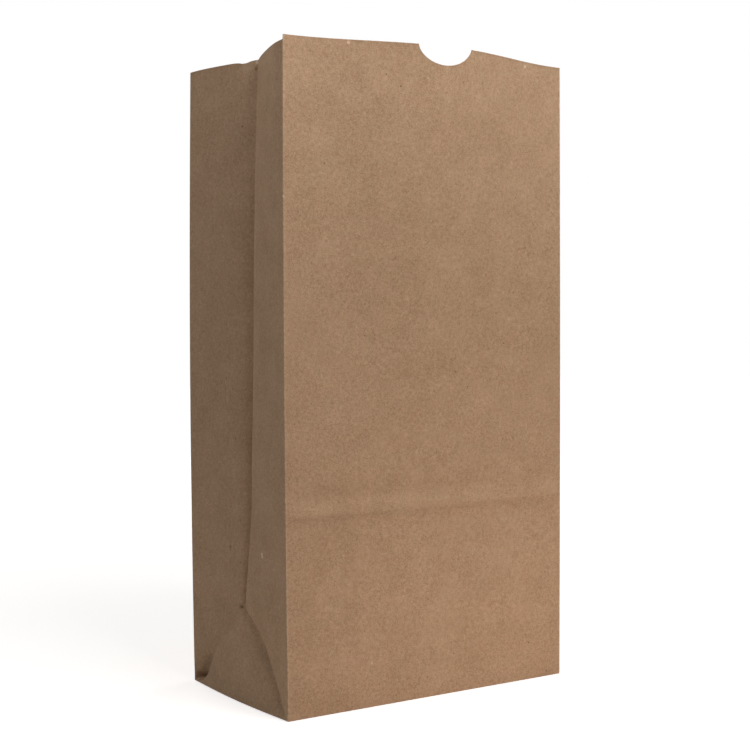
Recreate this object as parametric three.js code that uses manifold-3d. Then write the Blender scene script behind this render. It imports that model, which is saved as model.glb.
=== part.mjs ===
// Brown paper lunch bag: one kraft sheet, folded and glued into a flat-bottomed bag that stands open.
// Millimetres, +Z up. The origin is the centre of the base, and the front panel faces -Y.

import * as THREE from 'three';
import Module from 'manifold-3d';

// The opened bag
const PANEL_WIDTH = 127;
const GUSSET_DEPTH = 76.2;
const BAG_HEIGHT = 245;
const PAPER = 0.1;

// Thumb notch, a round cut in the middle of the front lip. Lower curls have steeper ends
const NOTCH_WIDTH = 23.5;
const NOTCH_DEPTH = 6.9;
const NOTCH_CURL = 0.6;

// The front lip stands a little above the cut edge of the gussets and the back
const LIP_STEP = 1.8;

// How far the centre fold of each gusset is tucked in, from the base up to the mouth
const TUCK_AT_CORNER_FOLDS = 3.4;
const TUCK_AT_PRESS_LINE = 5.9;
const TUCK_AT_MOUTH = 11.5;

// At the mouth the gussets leave the corners gently before they turn in, and higher powers leave later
const MOUTH_CURL_POWER = 1.5;

// How far the panels belly out at the mouth
const FRONT_BOW = 12;
const BACK_BOW = 4;

// Line that the folded base pressed across the front panel while the bag lay flat
const PRESS_LINE_HEIGHT = 72;
const PRESS_LINE_HALF_WIDTH = 4;
const PRESS_LINE_DEPTH = 0.6;

// Valley left in the back panel where the base was folded up against it
const BACK_FOLD_DEPTH = 1.2;

// Glued lap that closes the tube, on the back panel
const SEAM_WIDTH = 12.7;
const SEAM_CENTRE = 16;

// The two base flaps overlap by this much across the middle
const FLAP_OVERLAP = 20;

// Facets
const PANEL_STEPS = 16;
const GUSSET_HALF_STEPS = 6;
const LOWER_STEPS = 3;
const UPPER_STEPS = 13;
const NOTCH_STEPS = 28;

const KRAFT = new THREE.MeshStandardMaterial({ color: 0xb08a66, roughness: 0.92, metalness: 0 });

// Values that follow from the sizes above
const HALF_WIDTH = PANEL_WIDTH / 2;
const HALF_DEPTH = GUSSET_DEPTH / 2;
// Corner folds run up at 45 degrees, so they meet the centre fold half a gusset above the base.
const CORNER_FOLD_HEIGHT = HALF_DEPTH;
// Under the bag lie the side tucks, then the front flap, then the back flap.
const BASE_PLIES = 3;
const FLOOR = BASE_PLIES * PAPER;
const FLAP_DEPTH = HALF_DEPTH + FLAP_OVERLAP / 2;
// Cutting solids reach this far past the faces that they cut.
const CUT_MARGIN = 5;

const wasm = await Module();
wasm.setup();

const clamp01 = (value) => THREE.MathUtils.clamp(value, 0, 1);

// Evenly spaced values from one end up to, but without, the other.
function steps(from, to, count) {
  return Array.from({ length: count }, (unused, i) => THREE.MathUtils.lerp(from, to, i / count));
}

// 1 in the middle of a panel, falling smoothly to 0 at its corners.
function bell(x) {
  return Math.cos((Math.PI / 2) * (x / HALF_WIDTH)) ** 2;
}

// 0 at and below the press line, rising to 1 at the mouth.
function mouthRise(z) {
  return clamp01((z - PRESS_LINE_HEIGHT) / (BAG_HEIGHT - PRESS_LINE_HEIGHT)) ** 2;
}

function frontY(x, z) {
  const pressed = PRESS_LINE_DEPTH * clamp01(1 - Math.abs(z - PRESS_LINE_HEIGHT) / PRESS_LINE_HALF_WIDTH);
  return -HALF_DEPTH + pressed - FRONT_BOW * bell(x) * mouthRise(z);
}

function backY(x, z) {
  const folded = BACK_FOLD_DEPTH * clamp01(1 - Math.abs(z - CORNER_FOLD_HEIGHT) / CORNER_FOLD_HEIGHT);
  return HALF_DEPTH + bell(x) * (BACK_BOW * mouthRise(z) - folded);
}

// Depth of a gusset at height z. The share is 0 at the corners and 1 on the centre fold.
function tuck(share, z) {
  if (z < CORNER_FOLD_HEIGHT) {
    return TUCK_AT_CORNER_FOLDS * Math.min(share, z / CORNER_FOLD_HEIGHT);
  }
  const opening = clamp01((z - CORNER_FOLD_HEIGHT) / (PRESS_LINE_HEIGHT - CORNER_FOLD_HEIGHT));
  const lower = THREE.MathUtils.lerp(TUCK_AT_CORNER_FOLDS, TUCK_AT_PRESS_LINE, opening);
  const rise = mouthRise(z);
  const curl = THREE.MathUtils.lerp(1, MOUTH_CURL_POWER, rise);
  return THREE.MathUtils.lerp(lower, TUCK_AT_MOUTH, rise) * share ** curl;
}

// A gusset point, counted from 0 at the front corner to 1 at the back corner. Side is 1 right, -1 left.
function gussetPoint(side, along, z) {
  const share = 1 - Math.abs(2 * along - 1);
  const front = frontY(HALF_WIDTH, z);
  const y = THREE.MathUtils.lerp(front, backY(HALF_WIDTH, z), along);
  return new THREE.Vector3(side * (HALF_WIDTH - tuck(share, z)), y, z);
}

// Columns of the back panel, right to left, with one column as wide as the glued lap.
const SEAM_RIGHT = SEAM_CENTRE + SEAM_WIDTH / 2;
const SEAM_LEFT = SEAM_CENTRE - SEAM_WIDTH / 2;
const BACK_COLUMNS = [
  ...steps(HALF_WIDTH, SEAM_RIGHT, PANEL_STEPS / 4),
  SEAM_RIGHT,
  ...steps(SEAM_LEFT, -HALF_WIDTH, PANEL_STEPS / 2),
];

// One level of the wall, a ring that runs front, right, back, left.
function wallRing(z) {
  const gussetSteps = 2 * GUSSET_HALF_STEPS;
  const across = steps(-HALF_WIDTH, HALF_WIDTH, PANEL_STEPS);
  const front = across.map((x) => new THREE.Vector3(x, frontY(x, z), z));
  const right = steps(0, 1, gussetSteps).map((along) => gussetPoint(1, along, z));
  const back = BACK_COLUMNS.map((x) => new THREE.Vector3(x, backY(x, z), z));
  const left = steps(1, 0, gussetSteps).map((along) => gussetPoint(-1, along, z));
  return [...front, ...right, ...back, ...left];
}

// Seen along the ring, facets of a gusset's second half are split the other way, along its corner fold.
const FIRST_RIGHT = PANEL_STEPS;
const FIRST_LEFT = PANEL_STEPS + 2 * GUSSET_HALF_STEPS + BACK_COLUMNS.length;

function splitsRising(column) {
  const past = (first) => column - first - GUSSET_HALF_STEPS;
  const inSecondHalf = (first) => past(first) >= 0 && past(first) < GUSSET_HALF_STEPS;
  return !inSecondHalf(FIRST_RIGHT) && !inSecondHalf(FIRST_LEFT);
}

// The same ring moved inwards by one thickness of paper, with mitred corners.
function insideRing(ring, z) {
  const outward = (from, to) => new THREE.Vector3(to.y - from.y, from.x - to.x, 0).normalize();
  return ring.map((point, i) => {
    const before = outward(ring.at(i - 1), point);
    const after = outward(point, ring[(i + 1) % ring.length]);
    const mitre = before.clone().add(after).multiplyScalar(PAPER / (1 + before.dot(after)));
    return point.clone().sub(mitre).setZ(z);
  });
}

// A closed solid skinned over a row of rings, each end closed by a fan.
function loft(rings, rising = () => true) {
  const count = rings[0].length;
  const points = rings.flat();
  const triangles = [];
  for (let row = 0; row + 1 < rings.length; row += 1) {
    const upwards = rings[row + 1][0].z >= rings[row][0].z;
    for (let i = 0; i < count; i += 1) {
      const a = row * count + i;
      const b = row * count + ((i + 1) % count);
      const c = b + count;
      const d = a + count;
      if (rising(i) === upwards) {
        triangles.push(a, b, c, a, c, d);
      } else {
        triangles.push(a, b, d, b, c, d);
      }
    }
  }
  const closeEnd = (row, order) => {
    const middle = new THREE.Vector3();
    rings[row].forEach((point) => middle.addScaledVector(point, 1 / count));
    points.push(middle);
    for (let i = 0; i < count; i += 1) {
      const edge = [row * count + i, row * count + ((i + 1) % count)];
      triangles.push(edge[order], edge[1 - order], points.length - 1);
    }
  };
  closeEnd(0, 1);
  closeEnd(rings.length - 1, 0);
  return { points, triangles };
}

function toSolid({ points, triangles }) {
  const mesh = new wasm.Mesh({
    numProp: 3,
    vertProperties: new Float32Array(points.flatMap((point) => point.toArray())),
    triVerts: new Uint32Array(triangles),
  });
  return new wasm.Manifold(mesh);
}

// A flat outline raised to a solid between two heights, or swept along Y for the notch.
function extruded(shape, depth, place) {
  const geometry = new THREE.ExtrudeGeometry(shape, { depth, bevelEnabled: false });
  geometry.applyMatrix4(place);
  const position = geometry.getAttribute('position');
  const keys = new Map();
  const points = [];
  const triangles = [];
  for (let i = 0; i < position.count; i += 1) {
    const point = new THREE.Vector3().fromBufferAttribute(position, i);
    const key = point.toArray().map((value) => value.toFixed(4)).join();
    if (!keys.has(key)) {
      keys.set(key, points.length);
      points.push(point);
    }
    triangles.push(keys.get(key));
  }
  return toSolid({ points, triangles });
}

// Levels of the wall. Those below the corner folds are as many as the gusset's columns, so that the
// folds run through the corners of the facets.
const LEVELS = [
  ...steps(0, CORNER_FOLD_HEIGHT, GUSSET_HALF_STEPS),
  ...steps(CORNER_FOLD_HEIGHT, PRESS_LINE_HEIGHT - PRESS_LINE_HALF_WIDTH, LOWER_STEPS),
  PRESS_LINE_HEIGHT - PRESS_LINE_HALF_WIDTH,
  PRESS_LINE_HEIGHT,
  ...steps(PRESS_LINE_HEIGHT + PRESS_LINE_HALF_WIDTH, BAG_HEIGHT, UPPER_STEPS),
  BAG_HEIGHT,
];

// The folded sheet: up the outside, over the cut edge, and down the inside to the floor.
function foldedSheet() {
  const outside = LEVELS.map(wallRing);
  const inside = LEVELS.map((z, row) => insideRing(outside[row], Math.max(z, FLOOR)));
  return toSolid(loft([...outside, ...inside.reverse()], splitsRising));
}

// The lap lies one thickness proud of the back panel, and is bonded to it.
function backLap() {
  const rings = LEVELS.map((z) => Math.max(z, FLOOR)).map((z) => {
    const across = [SEAM_LEFT, SEAM_RIGHT];
    const bonded = across.map((x) => new THREE.Vector3(x, backY(x, z) - PAPER / 2, z));
    const proud = across.toReversed().map((x) => new THREE.Vector3(x, backY(x, z) + PAPER, z));
    return [...bonded, ...proud];
  });
  return toSolid(loft(rings));
}

// A round cut through the front lip, closed above the lip line.
function thumbNotch() {
  const half = NOTCH_WIDTH / 2;
  const edge = Array.from({ length: NOTCH_STEPS + 1 }, (_, step) => {
    const share = -Math.cos((Math.PI * step) / NOTCH_STEPS);
    const fall = NOTCH_DEPTH * Math.max(0, 1 - share ** 2) ** NOTCH_CURL;
    return new THREE.Vector2(share * half, BAG_HEIGHT - fall);
  });
  const above = [half, -half].map((x) => new THREE.Vector2(x, BAG_HEIGHT + CUT_MARGIN));
  const depth = FRONT_BOW + 2 * CUT_MARGIN;
  const place = new THREE.Matrix4().makeRotationX(Math.PI / 2);
  place.setPosition(0, -HALF_DEPTH + CUT_MARGIN, 0);
  return extruded(new THREE.Shape([...edge, ...above]), depth, place);
}

// Everything behind the front ply, above the lower cut edge.
function lipCut() {
  const front = -HALF_DEPTH + PAPER;
  const back = HALF_DEPTH + BACK_BOW + CUT_MARGIN;
  const side = HALF_WIDTH + CUT_MARGIN;
  const shape = new THREE.Shape();
  shape.moveTo(-side, front).lineTo(side, front).lineTo(side, back).lineTo(-side, back);
  const place = new THREE.Matrix4().setPosition(0, 0, BAG_HEIGHT - LIP_STEP);
  return extruded(shape, LIP_STEP + CUT_MARGIN, place);
}

// A step in the underside, cut from below to the given number of plies.
function underCut(outline, plies) {
  const shape = new THREE.Shape(outline.map(([x, y]) => new THREE.Vector2(x, y)));
  return extruded(shape, CUT_MARGIN + plies * PAPER, new THREE.Matrix4().setPosition(0, 0, -CUT_MARGIN));
}

// The side tucks lie highest. Their 45 degree edges are the folded ends of the two flaps.
function sideTuckCut(side) {
  const past = HALF_DEPTH + CUT_MARGIN;
  const base = side * (HALF_WIDTH + CUT_MARGIN);
  const tip = side * (HALF_WIDTH - HALF_DEPTH);
  const outline = [[tip, 0], [base, -past], [base, past]];
  return underCut(side > 0 ? outline : outline.toReversed(), BASE_PLIES - 1);
}

// The front flap shows one ply up, in front of the edge of the back flap that overlaps it.
function frontFlapCut() {
  const hinge = HALF_WIDTH + CUT_MARGIN;
  const past = -HALF_DEPTH - CUT_MARGIN;
  const waist = HALF_WIDTH - HALF_DEPTH;
  const edge = HALF_WIDTH - FLAP_DEPTH;
  const lap = -FLAP_OVERLAP / 2;
  return underCut([[-hinge, past], [hinge, past], [waist, 0], [edge, lap], [-edge, lap], [-waist, 0]], 1);
}

function paperBag() {
  const cuts = [thumbNotch(), lipCut(), sideTuckCut(1), sideTuckCut(-1), frontFlapCut()];
  const solid = cuts.reduce((bag, cut) => bag.subtract(cut), foldedSheet().add(backLap()));
  const { vertProperties, triVerts } = solid.getMesh();
  const geometry = new THREE.BufferGeometry();
  geometry.setAttribute('position', new THREE.BufferAttribute(vertProperties, 3));
  geometry.setIndex(new THREE.BufferAttribute(triVerts, 1));
  geometry.computeVertexNormals();
  const mesh = new THREE.Mesh(geometry, KRAFT);
  mesh.name = 'paper_bag';
  return mesh;
}

const bag = new THREE.Group();
bag.add(paperBag());

export default bag;
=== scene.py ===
import math

import bmesh
import bpy
import numpy as np
from mathutils import Matrix, Vector


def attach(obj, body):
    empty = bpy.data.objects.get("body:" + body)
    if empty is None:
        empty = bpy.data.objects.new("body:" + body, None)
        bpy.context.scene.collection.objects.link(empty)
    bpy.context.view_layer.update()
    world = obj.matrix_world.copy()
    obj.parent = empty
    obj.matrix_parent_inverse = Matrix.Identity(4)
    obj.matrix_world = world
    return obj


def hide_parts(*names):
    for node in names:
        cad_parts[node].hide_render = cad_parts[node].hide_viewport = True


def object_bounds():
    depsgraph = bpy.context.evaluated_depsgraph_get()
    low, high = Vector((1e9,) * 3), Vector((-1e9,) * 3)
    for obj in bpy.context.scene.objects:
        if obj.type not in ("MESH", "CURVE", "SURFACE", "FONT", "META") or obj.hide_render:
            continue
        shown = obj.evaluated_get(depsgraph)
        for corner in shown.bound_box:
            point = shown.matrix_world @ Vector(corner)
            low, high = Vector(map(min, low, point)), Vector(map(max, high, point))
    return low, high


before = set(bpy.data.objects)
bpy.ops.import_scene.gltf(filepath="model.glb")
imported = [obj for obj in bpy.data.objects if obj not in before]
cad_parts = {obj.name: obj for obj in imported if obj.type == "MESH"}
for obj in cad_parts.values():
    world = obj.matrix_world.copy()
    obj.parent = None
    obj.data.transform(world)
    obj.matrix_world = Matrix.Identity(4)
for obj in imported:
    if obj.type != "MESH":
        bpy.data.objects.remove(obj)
cad_low, cad_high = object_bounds()

MM = 0.001

# The opened bag. Lengths are in metres. The sizes are those of the CAD part, apart from the apex of the
# corner folds and the notch's place, which follow the photograph.
HALF_WIDTH = (cad_high.x - cad_low.x) / 2
HEIGHT = cad_high.z
HALF_DEPTH = 38.1 * MM
PAPER = 0.1 * MM
NOTCH_WIDTH = 23.5 * MM
NOTCH_DEPTH = 6.9 * MM
NOTCH_CURL = 0.6
NOTCH_CENTRE = -0.7 * MM
LIP_STEP = 1.8 * MM
PRESS_LINE = 72.0 * MM
APEX = 36.0 * MM
TUCK_AT_CORNER_FOLDS = 3.4 * MM
TUCK_AT_PRESS_LINE = 5.9 * MM
TUCK_AT_MOUTH = 11.5 * MM
MOUTH_CURL_POWER = 1.5
FRONT_BOW = 12.0 * MM
BACK_BOW = 4.0 * MM
BACK_FOLD_DEPTH = 1.2 * MM
SEAM_START = 22.35 * MM
SEAM_WIDTH = 12.7 * MM
LAP_CLIMB = 1.5 * MM
FLAP_OVERLAP = 20.0 * MM
FLAP_DEPTH = HALF_DEPTH + FLAP_OVERLAP / 2

# Girth of the flat blank: it starts under the lap on the back panel and runs past the left gusset,
# the front panel and the right gusset to the outer edge of the lap.
FOLD_BACK_LEFT = SEAM_START + HALF_WIDTH
FOLD_FRONT_LEFT = FOLD_BACK_LEFT + 2 * HALF_DEPTH
FOLD_FRONT_RIGHT = FOLD_FRONT_LEFT + 2 * HALF_WIDTH
FOLD_BACK_RIGHT = FOLD_FRONT_RIGHT + 2 * HALF_DEPTH
GIRTH = FOLD_BACK_RIGHT + HALF_WIDTH - SEAM_START + SEAM_WIDTH
FRONT_MIDDLE = FOLD_FRONT_LEFT + HALF_WIDTH
GUSSET_CENTRES = (FOLD_BACK_LEFT + HALF_DEPTH, FOLD_FRONT_RIGHT + HALF_DEPTH)

# How closely the mesh follows the folds: steps away from any fold, and the further steps beside a gusset's
# corners and its centre fold.
FOLD_STEPS = (0.15 * MM, 0.35 * MM, 0.6 * MM, 1.1 * MM)
CORNER_STEPS = (1.7 * MM, 2.4 * MM, 3.2 * MM, 4.0 * MM, 4.9 * MM, 5.8 * MM, 6.8 * MM)
CENTRE_STEPS = (1.6 * MM, 2.2 * MM, 2.9 * MM, 3.8 * MM)
PANEL_PITCH = 2.3 * MM
GUSSET_PITCH = 1.8 * MM
ROW_PITCH = 2.5 * MM
FOLD_SOFTNESS = 0.3 * MM
EDGE_RADIUS = 0.45 * MM
PLY_GAP = 0.12 * MM
MOUTH_BAND = 24.0 * MM
# Keeps divisions clear of zero.
LEAST_LENGTH = 0.1 * MM


def clamp01(value):
    return np.clip(value, 0.0, 1.0)


def lerp(a, b, share):
    return a + (b - a) * share


def smooth(value):
    t = clamp01(value)
    return t * t * (3 - 2 * t)


def mound(distance, reach):
    """1 at distance 0, falling smoothly to almost 0 at twice the reach."""
    return np.exp(-(distance / reach) ** 2)


def outline(girth):
    """Point of the base rectangle below a girth position."""
    stops = (0.0, FOLD_BACK_LEFT, FOLD_FRONT_LEFT, FOLD_FRONT_RIGHT, FOLD_BACK_RIGHT, GIRTH)
    x_stops = (SEAM_START, -HALF_WIDTH, -HALF_WIDTH, HALF_WIDTH, HALF_WIDTH, SEAM_START - SEAM_WIDTH)
    y_stops = (HALF_DEPTH, HALF_DEPTH, -HALF_DEPTH, -HALF_DEPTH, HALF_DEPTH, HALF_DEPTH)
    return np.interp(girth, stops, x_stops), np.interp(girth, stops, y_stops)


def panel_of(girth):
    """0 back, 1 left gusset, 2 front, 3 right gusset, 4 back with the lap."""
    return np.searchsorted(
        (FOLD_BACK_LEFT, FOLD_FRONT_LEFT, FOLD_FRONT_RIGHT, FOLD_BACK_RIGHT), girth, side="right"
    )


def mouth_rise(z):
    return clamp01((z - PRESS_LINE) / (HEIGHT - PRESS_LINE)) ** 2


def bell(x):
    return np.cos(math.pi / 2 * np.clip(x / HALF_WIDTH, -1, 1)) ** 2


# The press line across the front: a low ridge just above it, then a wider hollow.
RIDGE = 1.0 * MM
RIDGE_ABOVE = 1.6 * MM
RIDGE_REACH_DOWN = 2.5 * MM
RIDGE_REACH_UP = 3.4 * MM
HOLLOW = 0.6 * MM
HOLLOW_ABOVE = 7.0 * MM
HOLLOW_REACH = 3.5 * MM
PRESS_FADE = 4.0 * MM
PRESS_BAND = 12.5 * MM
FRONT_LEAN = 1.1 * MM
FRONT_LEAN_TOP = 165.0 * MM
FRONT_LEAN_SPREAD = 0.35


def press_mark(x, z):
    """Inward depth of the press line's mark, which fades out at the corners."""
    above_ridge = z - PRESS_LINE - RIDGE_ABOVE
    ridge = RIDGE * mound(above_ridge, np.where(above_ridge < 0, RIDGE_REACH_DOWN, RIDGE_REACH_UP))
    hollow = HOLLOW * mound(z - PRESS_LINE - HOLLOW_ABOVE, HOLLOW_REACH)
    return (hollow - ridge) * smooth((HALF_WIDTH - np.abs(x)) / PRESS_FADE)


def front_y(x, z):
    fall = clamp01((FRONT_LEAN_TOP - z) / (FRONT_LEAN_TOP - PRESS_LINE))
    lean = FRONT_LEAN * np.minimum(z / PRESS_LINE, fall) * bell(x) ** FRONT_LEAN_SPREAD
    return -HALF_DEPTH + press_mark(x, z) + lean - FRONT_BOW * bell(x) * mouth_rise(z)


def back_y(x, z):
    fold = BACK_FOLD_DEPTH * clamp01(1 - np.abs(z - APEX) / APEX)
    return HALF_DEPTH + bell(x) * (BACK_BOW * mouth_rise(z) - fold)


def tuck(share, z):
    """How far a gusset lies inside the side plane: share is 0 at its corners and 1 at its centre fold."""
    below = TUCK_AT_CORNER_FOLDS * np.minimum(share, z / APEX)
    climb = clamp01((z - APEX) / (PRESS_LINE - APEX))
    rise = mouth_rise(z)
    depth = lerp(lerp(TUCK_AT_CORNER_FOLDS, TUCK_AT_PRESS_LINE, climb), TUCK_AT_MOUTH, rise)
    above = depth * share ** lerp(1.0, MOUTH_CURL_POWER, rise)
    return np.where(z < APEX, below, above)


# Creased paper keeps a sharp pinch along the gusset's centre fold and its corner folds.
PINCH_LEVELS = np.array([0.0, 31.0, 37.0, 55.0, 85.0, 110.0, 150.0, 190.0, 230.0, 245.0]) * MM
PINCH_DEPTHS = np.array([0.9, 0.9, 2.2, 2.0, 3.0, 3.6, 3.2, 1.5, 0.3, 0.0]) * MM
PINCH_REACHES = np.array([1.6, 1.6, 0.8, 1.4, 2.4, 3.4, 4.0, 3.6, 3.0, 3.0]) * MM
PINCH_GIVEN_BACK = 0.42
# The front corner fold bends at a knee, and the triangle below it is drawn in behind its edge.
KNEE_AT = 0.68
KNEE_DEPTH = 2.0 * MM
KNEE_REACH = 5.0 * MM
UNDERCUT_LOW = 5.4 * MM
UNDERCUT_HIGH = 5.2 * MM
UNDERCUT_REACH_LOW = 3.5 * MM
UNDERCUT_REACH_HIGH = 2.3 * MM
UNDERCUT_START = 0.2
LEG_TURN = 0.6 * MM
# The back corner fold is a shallow valley that ends in a dark pocket at the base's corner.
BACK_LEG_DEPTH = 1.2 * MM
BACK_LEG_REACH = 2.6 * MM
BACK_LEG_LATENESS = 1.5
BACK_LEG_FULLNESS = 0.7
BACK_KNEE_AT = 0.19
BACK_KNEE_DEPTH = 2.9 * MM
BACK_KNEE_WIDTH = 0.13
BACK_KNEE_REACH = 1.7 * MM
TRIANGLE_REACH = 4.0 * MM
POCKET_DEPTH = 0.4 * MM
POCKET_AT = 6.5 * MM
POCKET_REACH = 6.0 * MM
POCKET_SPREAD = 5.0 * MM
GAP_DEPTH = 9.0 * MM
GAP_AT = 3.4 * MM
GAP_REACH = 2.4 * MM
GAP_SPREAD = 1.1 * MM
GAP_HOLD = 0.6 * MM
CORNER_SAG = 2.4 * MM
CORNER_SAG_AT = 4.8 * MM
CORNER_SAG_REACH = 4.0 * MM
CORNER_SAG_START = 3.0 * MM
CORNER_STRIP = 1.0 * MM
CROSS_FOLD_LEVEL = 38.0 * MM
CROSS_FOLD_DEPTH = 0.6 * MM
CROSS_FOLD_REACH = 3.0 * MM
APEX_DIMPLE = 1.6 * MM
APEX_REACH = 0.85 * MM
APEX_DIMPLE_ASIDE = 2.4 * MM
APEX_DIMPLE_BELOW = 1.0 * MM
BASE_HOLD = 2.5 * MM
BASE_FLARE = 1.4 * MM
BASE_FLARE_RISE = 14.0 * MM
LEFT_WEAR = 1.0
RIGHT_WEAR = 0.7
LEG_SLOPE = APEX / HALF_DEPTH


def knee(along):
    """1 at the knee of a corner fold and 0 at its ends."""
    return smooth(np.minimum(along / KNEE_AT, (1 - along) / (1 - KNEE_AT)))


def gusset_detail(from_front, z, wear):
    """Extra inward depth of a gusset, which grows with its wear."""
    from_back = 2 * HALF_DEPTH - from_front
    off_centre = np.abs(from_front - HALF_DEPTH)
    share = 1 - off_centre / HALF_DEPTH
    level = clamp01(z / APEX)
    triangle = share > level
    front_half = from_front < HALF_DEPTH
    rise = np.minimum(z, APEX) / LEG_SLOPE

    depth = np.interp(z, PINCH_LEVELS, PINCH_DEPTHS)
    reach = np.interp(z, PINCH_LEVELS, PINCH_REACHES)
    pinch = depth * (level ** 2 * np.exp(-off_centre / reach) - PINCH_GIVEN_BACK * np.minimum(share, level))

    inside_front = np.maximum(from_front - rise, 0) / math.sqrt(2)
    inside_back = np.maximum(from_back - rise, 0) / math.sqrt(2)
    along_front = np.where(triangle, clamp01((from_front + rise) / (2 * HALF_DEPTH)), level)
    up_to_leg = from_front / np.maximum(rise, LEAST_LENGTH)
    beside_leg = np.where(triangle, np.exp(-inside_front / KNEE_REACH), up_to_leg)
    bend = KNEE_DEPTH * knee(along_front) * np.where(front_half | triangle, beside_leg, 0) * (level < 1)
    draw = lerp(UNDERCUT_LOW, UNDERCUT_HIGH, along_front) * smooth(along_front / UNDERCUT_START)
    draw = draw * np.exp(-inside_front / lerp(UNDERCUT_REACH_LOW, UNDERCUT_REACH_HIGH, along_front))
    across_triangle = inside_back / np.maximum(inside_back + inside_front, LEAST_LENGTH)
    undercut = draw * smooth(inside_front / LEG_TURN) * across_triangle * triangle

    beyond = np.maximum(rise - from_back, 0) / math.sqrt(2)
    along_back = np.where(triangle, clamp01((from_back + rise) / (2 * HALF_DEPTH)), level)
    leg = BACK_LEG_DEPTH * np.sin(math.pi * along_back ** BACK_LEG_LATENESS) ** BACK_LEG_FULLNESS
    hollow = BACK_KNEE_DEPTH * mound(along_back - BACK_KNEE_AT, BACK_KNEE_WIDTH)
    inside_leg = (leg + hollow) * np.exp(-inside_back / TRIANGLE_REACH) * (1 - across_triangle)
    outside_leg = leg * np.exp(-beyond / BACK_LEG_REACH) + hollow * np.exp(-beyond / BACK_KNEE_REACH)
    valley = np.where(triangle, inside_leg, np.where(front_half, 0, outside_leg))
    valley = valley * (level < 1) * smooth(from_back / CORNER_STRIP)
    from_corner = (from_back + z / LEG_SLOPE) / 2
    pocket = POCKET_DEPTH * mound(from_corner - POCKET_AT, POCKET_REACH) * np.exp(-beyond / POCKET_SPREAD)
    gap = GAP_DEPTH * mound(from_corner - GAP_AT, GAP_REACH) * np.exp(-beyond / GAP_SPREAD)
    pocket = pocket * smooth(z / BASE_HOLD) + gap * smooth(z / GAP_HOLD)
    pocket = pocket * smooth(beyond / LEG_TURN) * smooth(from_back / CORNER_STRIP) * ~triangle * ~front_half

    ledge = smooth((CROSS_FOLD_LEVEL - z) / CROSS_FOLD_REACH) * level
    cross = CROSS_FOLD_DEPTH * ledge * 4 * share * (1 - share) * ~front_half * ~triangle
    apex = np.hypot(from_back - HALF_DEPTH + APEX_DIMPLE_ASIDE, z - APEX + APEX_DIMPLE_BELOW)
    dimple = APEX_DIMPLE * mound(apex, APEX_REACH)
    creased = smooth(z / BASE_HOLD) * (pinch + bend + undercut + valley + cross + dimple)
    flare = BASE_FLARE * np.sin(math.pi / 2 * share) * np.exp(-z / BASE_FLARE_RISE)
    return wear * (creased - flare) + pocket * (wear == LEFT_WEAR)


def corner_sag(girth, z):
    """How far the paper sinks beside the left gusset's back corner, where its corner fold starts low."""
    across = girth - FOLD_BACK_LEFT - CORNER_SAG_AT
    up = z / LEG_SLOPE - CORNER_SAG_AT
    on_gusset = (girth > FOLD_BACK_LEFT) & (girth < GUSSET_CENTRES[0])
    sag = CORNER_SAG * mound(np.hypot(across, up), CORNER_SAG_REACH) * on_gusset
    return sag * smooth(z / CORNER_SAG_START)


RIPPLE = 0.16 * MM
RIPPLE_WAVES = 14
RIPPLE_SHORTEST = 28 * MM
RIPPLE_LONGEST = 120 * MM
RIPPLE_SEED = 11


def ripple_waves():
    draws = np.random.default_rng(RIPPLE_SEED)
    lengths = draws.uniform(RIPPLE_SHORTEST, RIPPLE_LONGEST, RIPPLE_WAVES)
    headings = draws.uniform(0, math.pi, RIPPLE_WAVES)
    phases = draws.uniform(0, 2 * math.pi, RIPPLE_WAVES)
    return [(2 * math.pi / w, h, p, w / RIPPLE_LONGEST) for w, h, p in zip(lengths, headings, phases)]


WAVES = ripple_waves()


def ripple(girth, z):
    """Slight unevenness of the sheet, out of its plane."""
    total = np.zeros(np.broadcast(girth, z).shape)
    for number, heading, phase, weight in WAVES:
        run = girth * math.cos(heading) + z * math.sin(heading)
        total = total + weight * np.sin(number * run + phase)
    return RIPPLE * total


# The back panel runs on past the sheet's glued ends, and the foot of every panel stays flat.
BACK_RUNS_ON = 40 * MM
FLAT_FOOT = 25 * MM


def slackness(girth, z):
    """0 along the folds and the lap, which stay straight, and 1 in the middle of a panel."""
    stops = [-BACK_RUNS_ON, FOLD_BACK_LEFT, GUSSET_CENTRES[0], FOLD_FRONT_LEFT, FOLD_FRONT_RIGHT,
             GUSSET_CENTRES[1], FOLD_BACK_RIGHT, GIRTH + BACK_RUNS_ON]
    place = np.clip(np.searchsorted(stops, girth, side="right"), 1, len(stops) - 1)
    start = np.take(stops, place - 1)
    stop = np.take(stops, place)
    share = clamp01((girth - start) / (stop - start))
    off_lap = smooth(np.minimum(girth, GIRTH - girth) / SEAM_WIDTH - 1)
    return 4 * share * (1 - share) * off_lap * smooth(z / FLAT_FOOT)


# How far the vertical edges swell out at half height.
BELLY_BACK_LEFT = 1.1 * MM
BELLY_FRONT_LEFT = 0.5 * MM
BELLY_RIGHT = 0.3 * MM
# How far the mouth's corners stand from straight above the base's, in x and y.
DRIFT_FRONT_LEFT = (0.6 * MM, -0.3 * MM)
DRIFT_FRONT_RIGHT = (1.3 * MM, -0.5 * MM)
DRIFT_BACK_LEFT = (1.0 * MM, -1.0 * MM)
DRIFT_BACK_RIGHT = (0.4 * MM, 0.4 * MM)


def drift(x, y, z):
    """Lean of the opened bag's corners with height."""
    to_right = clamp01((x + HALF_WIDTH) / (2 * HALF_WIDTH))
    to_back = clamp01((y + HALF_DEPTH) / (2 * HALF_DEPTH))
    lean = []
    for axis in range(2):
        front = lerp(DRIFT_FRONT_LEFT[axis], DRIFT_FRONT_RIGHT[axis], to_right)
        back = lerp(DRIFT_BACK_LEFT[axis], DRIFT_BACK_RIGHT[axis], to_right)
        lean.append(lerp(front, back, to_back) * z / HEIGHT)
    return lean


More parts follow.
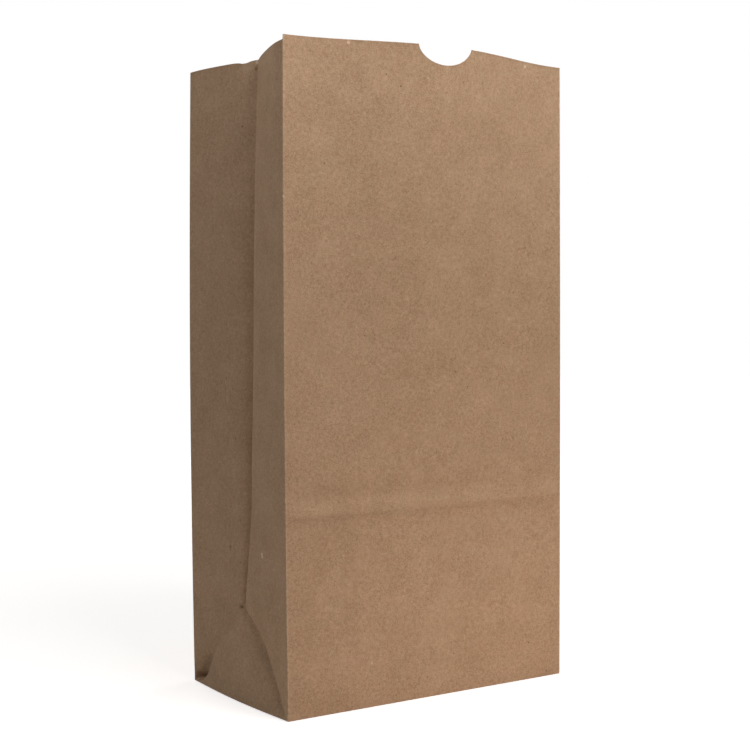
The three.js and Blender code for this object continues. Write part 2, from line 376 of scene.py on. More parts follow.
def lap_share(girth):
    """0 before the lap on the back panel and 1 on it."""
    return smooth((girth - (FOLD_BACK_RIGHT + HALF_WIDTH - SEAM_START - LAP_CLIMB)) / LAP_CLIMB)


def sharp_wall(girth, z):
    """The wall with sharp folds."""
    x, y = outline(girth)
    panel = panel_of(girth)
    girth_from_front = np.where(panel == 1, FOLD_FRONT_LEFT - girth, girth - FOLD_FRONT_RIGHT)
    from_front = np.clip(girth_from_front, 0, 2 * HALF_DEPTH)
    share = 1 - np.abs(from_front - HALF_DEPTH) / HALF_DEPTH
    left = panel == 1
    right = panel == 3
    front = panel == 2
    back = (panel == 0) | (panel == 4)
    wave = ripple(girth, z) * slackness(girth, z)
    inward = tuck(share, z) + gusset_detail(from_front, z, np.where(left, LEFT_WEAR, RIGHT_WEAR)) - wave
    lap = PLY_GAP * lap_share(girth)
    swell = np.sin(math.pi * clamp01(z / HEIGHT))
    near_left = clamp01(-x / HALF_WIDTH) ** 2
    near_right = clamp01(x / HALF_WIDTH) ** 2
    at_back = clamp01((y + HALF_DEPTH) / (2 * HALF_DEPTH))
    edge = np.where(left | right, (1 - share) ** 2, 1.0)
    belly_left = lerp(BELLY_FRONT_LEFT, BELLY_BACK_LEFT, at_back)
    belly = swell * edge * (near_right * BELLY_RIGHT - near_left * belly_left)
    moved_x = np.where(left, x + inward, np.where(right, x - inward, x)) + belly
    moved_y = np.where(front, front_y(x, z) - wave, np.where(back, back_y(x, z) + wave + lap, y))
    lean_x, lean_y = drift(x, y, z)
    lean_x = lean_x * np.where(left | right, 1 - share, 1.0)
    return np.stack([moved_x + lean_x, moved_y + lean_y, np.broadcast_to(z, moved_x.shape)], axis=-1)


# Samples that round a fold: distance from it in units of its softness, and weight.
TAPS = ((-1.5, 0.12), (-0.75, 0.23), (0.0, 0.3), (0.75, 0.23), (1.5, 0.12))


def wall(girth, z):
    """The wall with its folds rounded, as paper turns them."""
    total = 0
    for along, weight in TAPS:
        near = np.clip(girth + along * FOLD_SOFTNESS, 0, GIRTH)
        for up, share in TAPS:
            total = total + weight * share * sharp_wall(near, np.maximum(z + up * FOLD_SOFTNESS, 0))
    total[..., 2] = z - corner_sag(girth, z)
    return total


def spaced(length, pitch, fine_start=True, fine_stop=True):
    """Distances from 0 to length, closer together at a fold."""
    head = [0.0, *FOLD_STEPS] if fine_start else [0.0]
    tail = [length - s for s in reversed(FOLD_STEPS)] + [length] if fine_stop else [length]
    count = max(1, round((tail[0] - head[-1]) / pitch))
    middle = np.linspace(head[-1], tail[0], count + 1)[1:-1]
    return np.array([*head, *middle, *tail])


def joined(*runs):
    """Runs of distances laid end to end, with each shared end kept once."""
    total = [0.0]
    for run in runs:
        start = total[-1]
        total.extend(start + d for d in run[1:])
    return np.array(total)


# Columns of the sheet, from the edge under the lap to the lap's outer edge.
corner_run = np.array([0.0, *FOLD_STEPS, *CORNER_STEPS])
centre_run = HALF_DEPTH - np.array([0.0, *FOLD_STEPS, *CENTRE_STEPS])[::-1]
middle_count = round((centre_run[0] - corner_run[-1]) / GUSSET_PITCH)
middle_run = np.linspace(corner_run[-1], centre_run[0], middle_count + 1)[1:-1]
half_gusset = np.array([*corner_run, *middle_run, *centre_run])
notch_half = NOTCH_WIDTH / 2
back_left_run = spaced(FOLD_BACK_LEFT, PANEL_PITCH, fine_start=False)
front_run = joined(
    spaced(HALF_WIDTH + NOTCH_CENTRE - notch_half, PANEL_PITCH),
    spaced(NOTCH_WIDTH, PANEL_PITCH / 3),
    spaced(HALF_WIDTH - NOTCH_CENTRE - notch_half, PANEL_PITCH),
)
back_right_run = joined(
    spaced(HALF_WIDTH - SEAM_START, PANEL_PITCH),
    spaced(SEAM_WIDTH, PANEL_PITCH, fine_start=False, fine_stop=False),
)
other_half = HALF_DEPTH - half_gusset[::-1]
columns = joined(back_left_run, half_gusset, other_half, front_run, half_gusset, other_half, back_right_run)
corner_columns = [int(np.argmin(np.abs(columns - f)))
                  for f in (FOLD_BACK_LEFT, FOLD_FRONT_LEFT, FOLD_FRONT_RIGHT, FOLD_BACK_RIGHT)]
in_gusset = np.zeros(len(columns), bool)
in_gusset[corner_columns[0] + 1:corner_columns[1]] = True
in_gusset[corner_columns[2] + 1:corner_columns[3]] = True
in_front = np.zeros(len(columns), bool)
in_front[corner_columns[1]:corner_columns[2] + 1] = True
column_x, column_y = outline(columns)

# The cut edge dips a little beside the left gusset's centre fold.
EDGE_DIP = 0.7 * MM
EDGE_DIP_AT = FOLD_BACK_LEFT + 31.7 * MM
EDGE_DIP_REACH = 2.6 * MM

# Plies of the base, from the outermost up: the lap, the back flap, the front flap and the side tucks.
# Each lies on the table at its own edge and climbs over the flap that it overlaps.
EDGE_LIFT = 0.04 * MM
TUCK_CLIMB = (1.0 * MM, 7.0 * MM)
FRONT_CLIMB = (8.0 * MM, 24.0 * MM)


def ply_lift(inset):
    """Height of the base's plies, moved in from the outline by inset."""
    tuck_climb = smooth((inset - TUCK_CLIMB[0]) / (TUCK_CLIMB[1] - TUCK_CLIMB[0]))
    front_climb = smooth((inset - FRONT_CLIMB[0]) / (FRONT_CLIMB[1] - FRONT_CLIMB[0]))
    front = lerp(EDGE_LIFT, 2 * PLY_GAP, front_climb)
    back = PLY_GAP * (1 - lap_share(columns))
    return np.where(in_gusset, lerp(EDGE_LIFT, 3 * PLY_GAP, tuck_climb), np.where(in_front, front, back))


across_notch = np.clip((column_x - NOTCH_CENTRE) / notch_half, -1, 1)
notch_edge = HEIGHT - NOTCH_DEPTH * (1 - across_notch ** 2) ** NOTCH_CURL
in_notch = in_front & (np.abs(across_notch) < 1)
column_top = np.where(in_front, notch_edge, HEIGHT - LIP_STEP)
column_top = column_top - EDGE_DIP * mound(columns - EDGE_DIP_AT, EDGE_DIP_REACH)

# Rows of the sheet, from the free edges of the base flaps to the mouth.
# The row just inside the flaps' free edges keeps their painted shade narrow.
FLAP_EDGE = 0.6 * MM
BASE_STEPS = (32 * MM, 25 * MM, 18 * MM, 11 * MM, 5 * MM, 2 * MM)
flap_insets = [FLAP_DEPTH, FLAP_DEPTH - FLAP_EDGE, FLAP_DEPTH - FLAP_OVERLAP / 4, HALF_DEPTH, *BASE_STEPS]
turn_angles = [math.pi / 2, math.pi / 3, math.pi / 6, 0.0]
lower_rows = list(half_gusset[len(turn_angles):] * LEG_SLOPE)
press_rows = list(APEX + spaced(PRESS_LINE - APEX, ROW_PITCH)[1:])
band_start = HEIGHT - MOUTH_BAND
upper_rows = list(PRESS_LINE + joined(
    spaced(PRESS_BAND, ROW_PITCH / 3, fine_stop=False),
    spaced(band_start - PRESS_LINE - PRESS_BAND, ROW_PITCH, fine_start=False, fine_stop=False),
)[1:])
mouth_shares = [0.1, 0.2, 0.3, 0.4, 0.5, 0.6, 0.7, 0.8, 0.88, 0.93, 0.96, 0.98, 0.99, 1.0]


def base_row(inset):
    """A row of the flat base, moved in from the outline by inset."""
    on_flap = ~in_gusset
    towards = np.where(in_front, -1.0, 1.0)
    flap_x = column_x * (1 - inset / HALF_WIDTH)
    flap_y = towards * (HALF_DEPTH - inset)
    tuck_x = np.sign(column_x) * (HALF_WIDTH - inset)
    tuck_y = column_y * (1 - inset / HALF_DEPTH)
    x = np.where(on_flap, flap_x, tuck_x)
    y = np.where(on_flap, flap_y, tuck_y)
    return np.stack([x, y, ply_lift(inset)], axis=-1)


def turn_row(angle):
    """A row of the rounded fold between the base and the walls."""
    place = wall(columns, np.full(len(columns), EDGE_RADIUS))
    inset = EDGE_RADIUS * (1 - math.cos(angle))
    place[:, 0] *= 1 - inset / HALF_WIDTH
    place[:, 1] *= 1 - inset / HALF_DEPTH
    place[:, 2] = ply_lift(0.0) + EDGE_RADIUS * (1 - math.sin(angle))
    return place


rows = []
rises = []
for inset in flap_insets:
    rows.append(base_row(inset))
    rises.append(np.full(len(columns), -inset))
for angle in turn_angles:
    rows.append(turn_row(angle))
    rises.append(np.full(len(columns), EDGE_RADIUS * (1 - math.sin(angle))))
for level in lower_rows + press_rows + upper_rows:
    rows.append(wall(columns, np.full(len(columns), level)))
    rises.append(np.full(len(columns), level))
for share in mouth_shares:
    level = lerp(band_start, column_top, share)
    rows.append(wall(columns, level))
    rises.append(level)

places = np.array(rows)
rise = np.array(rises)
row_count, column_count = rise.shape
# The side tucks narrow to one point where the flaps meet, and end there.
present = np.ones((row_count, column_count), bool)
for r, inset in enumerate(flap_insets):
    if inset > HALF_DEPTH:
        present[r, in_gusset] = False

number = np.full((row_count, column_count), -1)
number[present] = np.arange(present.sum())
apex_row = flap_insets.index(HALF_DEPTH)
for first, last in (corner_columns[:2], corner_columns[2:]):
    number[apex_row, first + 1:last] = number[apex_row, first + 1]

outer = places[present]
outer_rise = rise[present]
outer_girth = np.broadcast_to(columns, rise.shape)[present]

# Painted shade along the mouth's cut edge: darker, most on the right of the front lip and least in the
# notch.
# Painted shade along the free edges of the base flaps too, standing for the shadow at each ply's edge.
PAINTED_EDGE_SHADE_LEFT = 0.12
PAINTED_EDGE_SHADE_RIGHT = 0.42
PAINTED_EDGE_SHADE_BEHIND = 0.16
PAINTED_EDGE_SHADE_NOTCH = 0.14
PAINTED_EDGE_SHADE_FLAP = 0.4
PAINTED_EDGE_SHADE_REACH = 0.75 * MM
along_lip = clamp01((column_x + HALF_WIDTH) / (2 * HALF_WIDTH))
column_painted_shade = np.where(in_front, lerp(PAINTED_EDGE_SHADE_LEFT, PAINTED_EDGE_SHADE_RIGHT, along_lip), PAINTED_EDGE_SHADE_BEHIND)
column_painted_shade = np.where(in_notch, PAINTED_EDGE_SHADE_NOTCH, column_painted_shade)
sheet_painted_shade = column_painted_shade * np.exp(-(column_top - rise) / PAINTED_EDGE_SHADE_REACH)
sheet_painted_shade[flap_insets.index(FLAP_DEPTH)] = PAINTED_EDGE_SHADE_FLAP
outer_painted_shade = sheet_painted_shade[present]

# Both sides of the sheet are split along the same diagonals, which follow the corner folds.
faces = []
corner_fold_top = len(flap_insets) + len(turn_angles) + len(lower_rows)
gusset_starts = (corner_columns[0], corner_columns[2])
half_steps = len(half_gusset) - 1
for r in range(row_count - 1):
    for c in range(column_count - 1):
        ring = [number[r, c], number[r, c + 1], number[r + 1, c + 1], number[r + 1, c]]
        if -1 in ring:
            continue
        ring = [v for i, v in enumerate(ring) if v != ring[i - 1]]
        if len(ring) < 3:
            continue
        second_half = any(half_steps <= c - start < 2 * half_steps for start in gusset_starts)
        falling = second_half and len(flap_insets) <= r < corner_fold_top
        if len(ring) == 3:
            faces.append(tuple(ring))
        elif falling:
            faces.append((ring[0], ring[1], ring[3]))
            faces.append((ring[1], ring[2], ring[3]))
        else:
            faces.append((ring[0], ring[1], ring[2]))
            faces.append((ring[0], ring[2], ring[3]))


def vertex_normals(points, triangles):
    """Normals that lean to the larger faces, as paper bends."""
    corners = np.array(triangles)
    a, b, c = (points[corners[:, i]] for i in range(3))
    facing = np.cross(b - a, c - a)
    total = np.zeros_like(points)
    for i in range(3):
        np.add.at(total, corners[:, i], facing)
    lengths = np.linalg.norm(total, axis=1)
    lengths[lengths == 0] = 1
    return total / lengths[:, None]


# The base's plies lie flat, so their upper sides are straight above the lower ones.
normals = vertex_normals(outer, faces)
normals[outer_rise < 0] = (0, 0, -1)
inner = outer - normals * PAPER
outer_count = len(outer)
inner_faces = [tuple(v + outer_count for v in reversed(f)) for f in faces]
edges = dict.fromkeys((f[i - 1], v) for f in faces for i, v in enumerate(f))
rim_faces = [(b, a, a + outer_count, b + outer_count) for a, b in edges if (b, a) not in edges]

points = np.concatenate([outer, inner])
mesh = bpy.data.meshes.new("folded_bag")
mesh.from_pydata(points.tolist(), [], faces + inner_faces + rim_faces)


def add_attribute(name, values):
    attribute = mesh.attributes.new(name, "FLOAT", "POINT")
    attribute.data.foreach_set("value", np.asarray(values, np.float32))


add_attribute("girth", np.concatenate([outer_girth, outer_girth]))
add_attribute("rise", np.concatenate([outer_rise, outer_rise]))
add_attribute("inside", np.concatenate([np.zeros(outer_count), np.ones(outer_count)]))
# Strength of the painted shade along the cut edges.
add_attribute("painted_edge_shade", np.concatenate([outer_painted_shade, outer_painted_shade]))

# Only the base's flat plies have flat shading.
on_base = np.concatenate([outer_rise, outer_rise]) < 0
for polygon in mesh.polygons:
    polygon.use_smooth = not on_base[list(polygon.vertices)].all()
mesh.update()

# Points that no face uses, left where the tucks narrow to one point.
loose = bmesh.new()
loose.from_mesh(mesh)
bmesh.ops.delete(loose, geom=[v for v in loose.verts if not v.link_faces], context="VERTS")
loose.to_mesh(mesh)
loose.free()

bag = bpy.data.objects.new("folded_bag", mesh)
bpy.context.scene.collection.objects.link(bag)


class Graph:
    """An emptied node tree, with helpers that add nodes and link them."""

    def __init__(self, tree):
        self.tree = tree
        self.tree.nodes.clear()

    def node(self, kind, **settings):
        made = self.tree.nodes.new(kind)
        for key, value in settings.items():
            setattr(made, key, value)
        return made

    def feed(self, socket, source):
        if isinstance(source, bpy.types.NodeSocket):
            self.tree.links.new(source, socket)
        else:
            socket.default_value = source

    def math(self, operation, a, b=0.0, c=0.0):
        made = self.node("ShaderNodeMath", operation=operation)
        for socket, source in zip(made.inputs, (a, b, c)):
            self.feed(socket, source)
        return made.outputs[0]

    def ramp(self, value, low, high, to_low=0.0, to_high=1.0):
        made = self.node("ShaderNodeMapRange", interpolation_type="SMOOTHSTEP")
        for name, source in (("Value", value), ("From Min", low), ("From Max", high),
                             ("To Min", to_low), ("To Max", to_high)):
            self.feed(made.inputs[name], source)
        return made.outputs["Result"]

    def noise(self, place, scale, detail=2.0, roughness=0.5):
        made = self.node("ShaderNodeTexNoise")
        self.feed(made.inputs["Vector"], place)
        self.feed(made.inputs["Scale"], scale)
        self.feed(made.inputs["Detail"], detail)
        self.feed(made.inputs["Roughness"], roughness)
        return made.outputs["Fac"]

    def stretched(self, place, scale):
        made = self.node("ShaderNodeMapping")
        self.feed(made.inputs["Vector"], place)
        made.inputs["Scale"].default_value = scale
        return made.outputs["Vector"]

    def spots(self, place, scale):
        made = self.node("ShaderNodeTexVoronoi")
        self.feed(made.inputs["Vector"], place)
        self.feed(made.inputs["Scale"], scale)
        return made.outputs["Distance"], made.outputs["Color"]

    def attribute(self, name):
        made = self.node("ShaderNodeAttribute", attribute_name=name)
        return made.outputs["Fac"]

    def mix(self, factor, a, b, blend="MIX"):
        made = self.node("ShaderNodeMix", data_type="RGBA", blend_type=blend)
        self.feed(made.inputs["Factor"], factor)
        self.feed(made.inputs[6], a)
        self.feed(made.inputs[7], b)
        return made.outputs[2]


def new_material(name):
    material = bpy.data.materials.new(name)
    material.use_nodes = True
    return material, Graph(material.node_tree)


# Colours of the paper, and the tint of its patches.
KRAFT = (0.397, 0.256, 0.158, 1.0)
KRAFT_DARK = (0.298, 0.183, 0.106, 1.0)
KRAFT_LIGHT = (0.496, 0.335, 0.216, 1.0)
# Also the colour of a spot of painted shade.
SPECK_AND_PAINTED_SHADE_DARK = (0.120, 0.066, 0.036, 1.0)
FLECK_LIGHT = (0.560, 0.400, 0.270, 1.0)
# Also the colour of a painted highlight.
FLECK_AND_PAINTED_HIGHLIGHT_PALE = (0.700, 0.540, 0.390, 1.0)
# Colour of the painted shade along the cut edges.
PAINTED_EDGE_SHADE_COLOUR = (0.150, 0.095, 0.060, 1.0)
TINT = (0.975, 1.0, 0.985, 1.0)

# Patterns of the paper: noise scales per metre, and how much each one moves the tone.
CLOUD_SCALE = 85.0
CLOUD_WEIGHT = 0.55
MOTTLE_SCALE = 760.0
MOTTLE_WEIGHT = 1.0
GRAIN_SCALE = 2300.0
GRAIN_WEIGHT = 1.45
PATCH_SCALE = 190.0
PATCH_RANGE = (0.35, 0.65)
# Small specks: cells per metre, their outer and inner edge, which cells have one, and its strength.
DARK_SPECK_SCALE = 170.0
DARK_SPECK_EDGE = (0.075, 0.03)
DARK_SPECK_PICK = (0.72, 0.78)
DARK_SPECK_STRENGTH = 0.75
PALE_SPECK_SCALE = 230.0
PALE_SPECK_STRETCH = (1.0, 1.0, 0.45)
PALE_SPECK_EDGE = (0.11, 0.04)
PALE_SPECK_PICK = (0.75, 0.8)
PALE_SPECK_STRENGTH = 0.5
# Worn folds: outer and inner edge of the worn line, and its strength by the mottle under it.
FOLD_WEAR = (0.9 * MM, 0.15 * MM)
FOOT_WEAR = (0.9 * MM, 0.2 * MM)
WEAR_MOTTLE = (0.3, 0.75)
WEAR_STRENGTH = (0.15, 0.6)
# Surface.
ROUGH_MOTTLE = (0.2, 0.8)
ROUGHNESS = (0.84, 0.96)
SPECULAR = 0.08
GRAIN_RELIEF = 0.6
MOTTLE_RELIEF = 0.8
BUMP_STRENGTH = 0.35
BUMP_DEPTH = 0.12 * MM
FLECK_CORE = 0.3

# Larger flecks of this sheet, a spot of painted shade and a painted highlight: place along its girth,
# height, radius and strength.
DARK_FLECKS_AND_PAINTED_SHADE = (
    # The first is painted shade in the dimple beside the apex of the left gusset's corner folds.
    (GUSSET_CENTRES[0] - 3.0 * MM, APEX - 1.2 * MM, 1.0 * MM, 0.5),
    (FOLD_BACK_LEFT + 27.6 * MM, 58.6 * MM, 0.7 * MM, 0.35),
    (FOLD_BACK_LEFT + 27.8 * MM, 57.2 * MM, 0.9 * MM, 0.6),
    (FOLD_BACK_LEFT + 28.0 * MM, 55.8 * MM, 0.7 * MM, 0.35),
    (FOLD_BACK_LEFT + 31.2 * MM, 218.6 * MM, 0.7 * MM, 0.7),
    (FOLD_BACK_LEFT + 37.2 * MM, 239.9 * MM, 0.9 * MM, 0.55),
    (FRONT_MIDDLE - 47.2 * MM, 200.3 * MM, 0.6 * MM, 0.55),
    (FRONT_MIDDLE + 47.2 * MM, 14.8 * MM, 0.6 * MM, 0.6),
    (FRONT_MIDDLE - 38.2 * MM, 16.4 * MM, 0.5 * MM, 0.5),
    (FRONT_MIDDLE - 24.3 * MM, 8.1 * MM, 0.5 * MM, 0.5),
    (FRONT_MIDDLE - 2.4 * MM, 7.7 * MM, 0.5 * MM, 0.5),
    (FRONT_MIDDLE + 7.9 * MM, 232.7 * MM, 0.5 * MM, 0.6),
    (FRONT_MIDDLE + 56.4 * MM, 2.3 * MM, 0.6 * MM, 0.5),
)
PALE_FLECKS_AND_PAINTED_HIGHLIGHT = (
    (FOLD_BACK_LEFT + 53.6 * MM, 57.4 * MM, 1.0 * MM, 0.8),
    (FOLD_BACK_LEFT + 53.8 * MM, 56.5 * MM, 1.0 * MM, 0.8),
    (FOLD_BACK_LEFT + 37.6 * MM, 242.2 * MM, 1.1 * MM, 0.7),
    (FOLD_BACK_LEFT + 38.9 * MM, 241.6 * MM, 0.9 * MM, 0.35),
    # A painted highlight where the cut edge dips beside the left gusset's centre fold and the paper turns
    # up.
    (FOLD_BACK_LEFT + 32.5 * MM, 241.5 * MM, 4.0 * MM, 0.13),
    (FOLD_FRONT_LEFT, 187.8 * MM, 0.7 * MM, 0.6),
    (FRONT_MIDDLE - 38.6 * MM, 243.9 * MM, 0.9 * MM, 0.7),
    (FRONT_MIDDLE + 43.1 * MM, 243.2 * MM, 0.9 * MM, 0.6),
    (FRONT_MIDDLE - 27.3 * MM, 16.4 * MM, 0.5 * MM, 0.5),
)


def flecks(g, sheet, marks):
    """How strongly a point of the sheet is covered by the listed flecks and painted marks."""
    cover = None
    for along, up, radius, strength in marks:
        gap = g.node("ShaderNodeVectorMath", operation="DISTANCE")
        g.feed(gap.inputs[0], sheet)
        gap.inputs[1].default_value = (along, up, 0.0)
        mark = g.ramp(gap.outputs["Value"], radius, FLECK_CORE * radius, 0.0, strength)
        cover = mark if cover is None else g.math("MAXIMUM", cover, mark)
    return cover


def kraft_material():
    material, g = new_material("kraft_paper")
    place = g.node("ShaderNodeTexCoord").outputs["Object"]
    girth = g.attribute("girth")
    height = g.attribute("rise")

    cloud = g.noise(place, CLOUD_SCALE, 3.0, 0.55)
    mottle = g.noise(place, MOTTLE_SCALE, 2.0, 0.6)
    grain = g.noise(place, GRAIN_SCALE, 1.0, 0.6)

    tone = g.math("MULTIPLY_ADD", g.math("SUBTRACT", cloud, 0.5), CLOUD_WEIGHT, 0.5)
    tone = g.math("MULTIPLY_ADD", g.math("SUBTRACT", mottle, 0.5), MOTTLE_WEIGHT, tone)
    tone = g.math("MULTIPLY_ADD", g.math("SUBTRACT", grain, 0.5), GRAIN_WEIGHT, tone)

    spread = g.node("ShaderNodeValToRGB")
    spread.color_ramp.elements[0].color = KRAFT_DARK
    spread.color_ramp.elements[1].color = KRAFT_LIGHT
    middle = spread.color_ramp.elements.new(0.5)
    middle.color = KRAFT
    g.feed(spread.inputs["Fac"], tone)
    colour = spread.outputs["Color"]

    patch = g.noise(place, PATCH_SCALE, 2.0, 0.5)
    colour = g.mix(g.ramp(patch, *PATCH_RANGE), colour, g.mix(1.0, colour, TINT, "MULTIPLY"))

    dark_gap, dark_random = g.spots(place, DARK_SPECK_SCALE)
    dark_pick = g.node("ShaderNodeSeparateColor")
    g.feed(dark_pick.inputs["Color"], dark_random)
    dark = g.ramp(dark_gap, *DARK_SPECK_EDGE)
    dark_strength = g.ramp(dark_pick.outputs[0], *DARK_SPECK_PICK, 0.0, DARK_SPECK_STRENGTH)
    dark = g.math("MULTIPLY", dark, dark_strength)
    colour = g.mix(dark, colour, SPECK_AND_PAINTED_SHADE_DARK)

    pale_place = g.stretched(place, PALE_SPECK_STRETCH)
    pale_gap, pale_random = g.spots(pale_place, PALE_SPECK_SCALE)
    pale_pick = g.node("ShaderNodeSeparateColor")
    g.feed(pale_pick.inputs["Color"], pale_random)
    pale = g.ramp(pale_gap, *PALE_SPECK_EDGE)
    pale_strength = g.ramp(pale_pick.outputs[1], *PALE_SPECK_PICK, 0.0, PALE_SPECK_STRENGTH)
    pale = g.math("MULTIPLY", pale, pale_strength)
    colour = g.mix(pale, colour, FLECK_LIGHT)

    wear = None
    for fold in (FOLD_BACK_LEFT, FOLD_FRONT_LEFT, FOLD_FRONT_RIGHT, FOLD_BACK_RIGHT):
        gap = g.math("ABSOLUTE", g.math("SUBTRACT", girth, fold))
        line = g.ramp(gap, *FOLD_WEAR)
        wear = line if wear is None else g.math("MAXIMUM", wear, line)
    foot = g.ramp(g.math("ABSOLUTE", height), *FOOT_WEAR)
    wear = g.math("MAXIMUM", wear, foot)
    outside = g.math("SUBTRACT", 1.0, g.attribute("inside"))
    worn = g.math("MULTIPLY", wear, g.ramp(mottle, *WEAR_MOTTLE, *WEAR_STRENGTH))
    worn = g.math("MULTIPLY", worn, outside)
    colour = g.mix(worn, colour, FLECK_LIGHT)

    sheet = g.node("ShaderNodeCombineXYZ")
    g.feed(sheet.inputs["X"], girth)
    g.feed(sheet.inputs["Y"], height)
    g.feed(sheet.inputs["Z"], g.attribute("inside"))
    # Dark flecks with a spot of painted shade, then pale flecks with a painted highlight.
    colour = g.mix(flecks(g, sheet.outputs[0], DARK_FLECKS_AND_PAINTED_SHADE), colour, SPECK_AND_PAINTED_SHADE_DARK)
    colour = g.mix(flecks(g, sheet.outputs[0], PALE_FLECKS_AND_PAINTED_HIGHLIGHT), colour, FLECK_AND_PAINTED_HIGHLIGHT_PALE)
    # Painted shade along the mouth's cut edge and the base flaps' free edges.
    colour = g.mix(g.attribute("painted_edge_shade"), colour, PAINTED_EDGE_SHADE_COLOUR)

    surface = g.node("ShaderNodeBsdfPrincipled")
    g.feed(surface.inputs["Base Color"], colour)
    g.feed(surface.inputs["Roughness"], g.ramp(mottle, *ROUGH_MOTTLE, *ROUGHNESS))
    surface.inputs["Specular IOR Level"].default_value = SPECULAR

    relief = g.math("MULTIPLY_ADD", grain, GRAIN_RELIEF, g.math("MULTIPLY", mottle, MOTTLE_RELIEF))
    bump = g.node("ShaderNodeBump")
    bump.inputs["Strength"].default_value = BUMP_STRENGTH
    bump.inputs["Distance"].default_value = BUMP_DEPTH
    g.feed(bump.inputs["Height"], relief)
    g.feed(surface.inputs["Normal"], bump.outputs["Normal"])

    output = g.node("ShaderNodeOutputMaterial")
    g.feed(output.inputs["Surface"], surface.outputs["BSDF"])
    return material


bag.data.materials.append(kraft_material())
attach(bag, "root")
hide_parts("paper_bag")

# Floor: white, with the bag's own soft shadow on it.
FLOOR_SIZE = 6.0
FLOOR_DROP = 0.02 * MM
FLOOR_WHITE = (0.83, 0.80, 0.77, 1.0)
FLOOR_GLOW_NEAR = 0.60
FLOOR_GLOW_FAR = 1.0
FLOOR_FADE_START = 0.30
FLOOR_FADE_STOP = 1.1


def seen_directly(g):
    """1 for rays that show the background: straight from the camera, mirrored or through glass."""
    path = g.node("ShaderNodeLightPath")
    shown = g.math("MAXIMUM", path.outputs["Is Camera Ray"], path.outputs["Is Glossy Ray"])
    return g.math("MAXIMUM", shown, path.outputs["Is Transmission Ray"])


def floor_material():
    material, g = new_material("white_floor")
    place = g.node("ShaderNodeTexCoord").outputs["Object"]
    reach = g.node("ShaderNodeVectorMath", operation="LENGTH")
    g.feed(reach.inputs[0], place)
    glow = g.ramp(reach.outputs["Value"], FLOOR_FADE_START, FLOOR_FADE_STOP, FLOOR_GLOW_NEAR, FLOOR_GLOW_FAR)
    emission = g.node("ShaderNodeEmission")
    g.feed(emission.inputs["Strength"], g.math("MULTIPLY", glow, seen_directly(g)))
    diffuse = g.node("ShaderNodeBsdfDiffuse")
    diffuse.inputs["Color"].default_value = FLOOR_WHITE
    both = g.node("ShaderNodeAddShader")
    g.feed(both.inputs[0], emission.outputs[0])
    g.feed(both.inputs[1], diffuse.outputs[0])
    output = g.node("ShaderNodeOutputMaterial")
    g.feed(output.inputs["Surface"], both.outputs[0])
    return material


floor_mesh = bpy.data.meshes.new("floor")
half_floor = FLOOR_SIZE / 2
floor_mesh.from_pydata(
    [(x * half_floor, y * half_floor, 0) for x, y in ((-1, -1), (1, -1), (1, 1), (-1, 1))],
    [],
    [(0, 1, 2, 3)],
)
floor = bpy.data.objects.new("floor", floor_mesh)
bpy.context.scene.collection.objects.link(floor)
floor.location.z = -FLOOR_DROP
floor_mesh.materials.append(floor_material())

# Soft studio light.
AMBIENT = (0.076, 0.086, 0.092, 1.0)
AMBIENT_STRENGTH = 1.0
LIT_POINT = (0.0, -0.02, 0.12)


def light_world():
    world = bpy.data.worlds.new("studio")
    bpy.context.scene.world = world
    world.use_nodes = True
    g = Graph(world.node_tree)
    room = g.node("ShaderNodeBackground")
    room.inputs["Color"].default_value = AMBIENT
    room.inputs["Strength"].default_value = AMBIENT_STRENGTH
    white = g.node("ShaderNodeBackground")
    white.inputs["Color"].default_value = (1, 1, 1, 1)
    white.inputs["Strength"].default_value = 1.0
    both = g.node("ShaderNodeMixShader")
    g.feed(both.inputs[0], seen_directly(g))
    g.feed(both.inputs[1], room.outputs[0])
    g.feed(both.inputs[2], white.outputs[0])
    output = g.node("ShaderNodeOutputWorld")
    g.feed(output.inputs["Surface"], both.outputs[0])


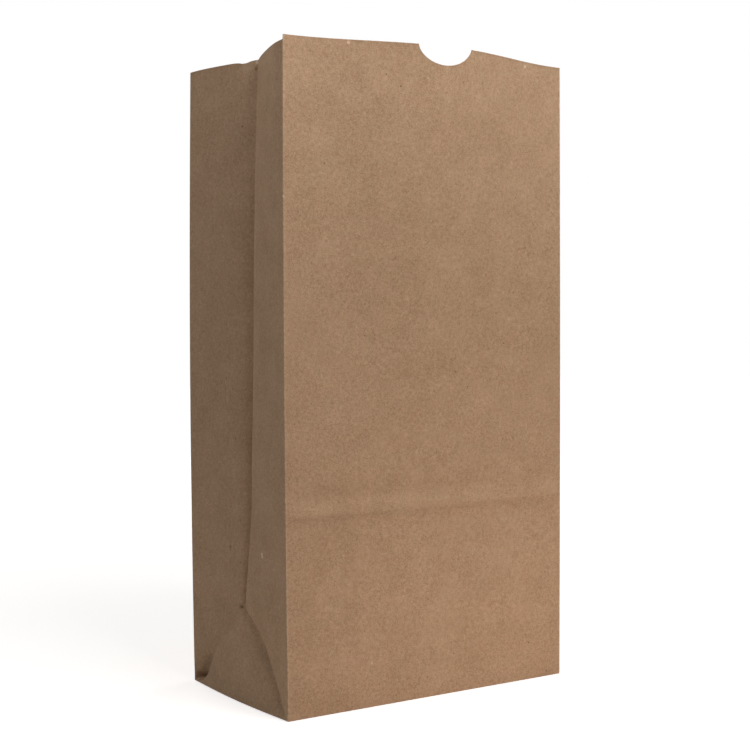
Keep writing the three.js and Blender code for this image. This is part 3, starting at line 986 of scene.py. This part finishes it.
def area_light(name, place, target, size, power, colour, height=None):
    """A round light, or a strip where a height is given."""
    data = bpy.data.lights.new(name, "AREA")
    data.shape = "DISK" if height is None else "RECTANGLE"
    data.size = size
    if height is not None:
        data.size_y = height
    data.energy = power
    data.color = colour
    lamp = bpy.data.objects.new(name, data)
    bpy.context.scene.collection.objects.link(lamp)
    lamp.location = place
    lamp.rotation_mode = "QUATERNION"
    lamp.rotation_quaternion = (Vector(target) - Vector(place)).to_track_quat("-Z", "Y")
    lamp.visible_camera = False
    return lamp


light_world()
area_light("overhead", (0.018, -0.22, 0.42), LIT_POINT, 0.25, 1.085, (1.0, 0.985, 0.98))
area_light("left_overhead", (-0.35, 0.0, 0.45), LIT_POINT, 0.25, 0.40, (0.98, 0.905, 0.895))
area_light("left_rear", (-0.5, 0.6, 0.5), LIT_POINT, 0.4, 0.78, (0.74, 0.91, 1.0))
area_light("front", (0.15, -0.9, 0.05), LIT_POINT, 0.5, 0.50, (1.0, 0.60, 0.40))
area_light("table_glow", (0.07, -0.16, 0.012), (0.07, 0.0, 0.012), 0.24, 0.080, (1.0, 0.85, 0.78), 0.02)
area_light("left_table_glow", (-0.17, 0.0, 0.012), (0.0, 0.0, 0.012), 0.14, 0.002, (1.0, 0.97, 0.94), 0.02)
area_light("right_fill", (0.8, 0.25, 0.35), LIT_POINT, 0.5, 1.8, (1.0, 0.96, 0.92))
area_light("rear_fill", (0.1, 0.9, 0.5), LIT_POINT, 0.5, 1.9, (1.0, 0.94, 0.89))

# The camera of the photograph.
CAMERA_PLACE = (-313.04 * MM, -479.43 * MM, 138.56 * MM)
CAMERA_YAW = math.radians(33.13)
CAMERA_PITCH = math.radians(1.63)
CAMERA_ROLL = math.radians(0.51)
CAMERA_LENS = 68.34
SENSOR = 36.0
CAMERA_CLIP = (0.01, 100.0)

camera_data = bpy.data.cameras.new("camera")
camera_data.sensor_width = SENSOR
camera_data.lens = CAMERA_LENS
camera_data.clip_start, camera_data.clip_end = CAMERA_CLIP
camera = bpy.data.objects.new("camera", camera_data)
bpy.context.scene.collection.objects.link(camera)
turn = (Matrix.Rotation(-CAMERA_YAW, 4, "Z") @ Matrix.Rotation(math.pi / 2 - CAMERA_PITCH, 4, "X")
        @ Matrix.Rotation(-CAMERA_ROLL, 4, "Z"))
camera.matrix_world = Matrix.Translation(CAMERA_PLACE) @ turn
bpy.context.scene.camera = camera
bpy.context.scene.view_settings.view_transform = "Standard"
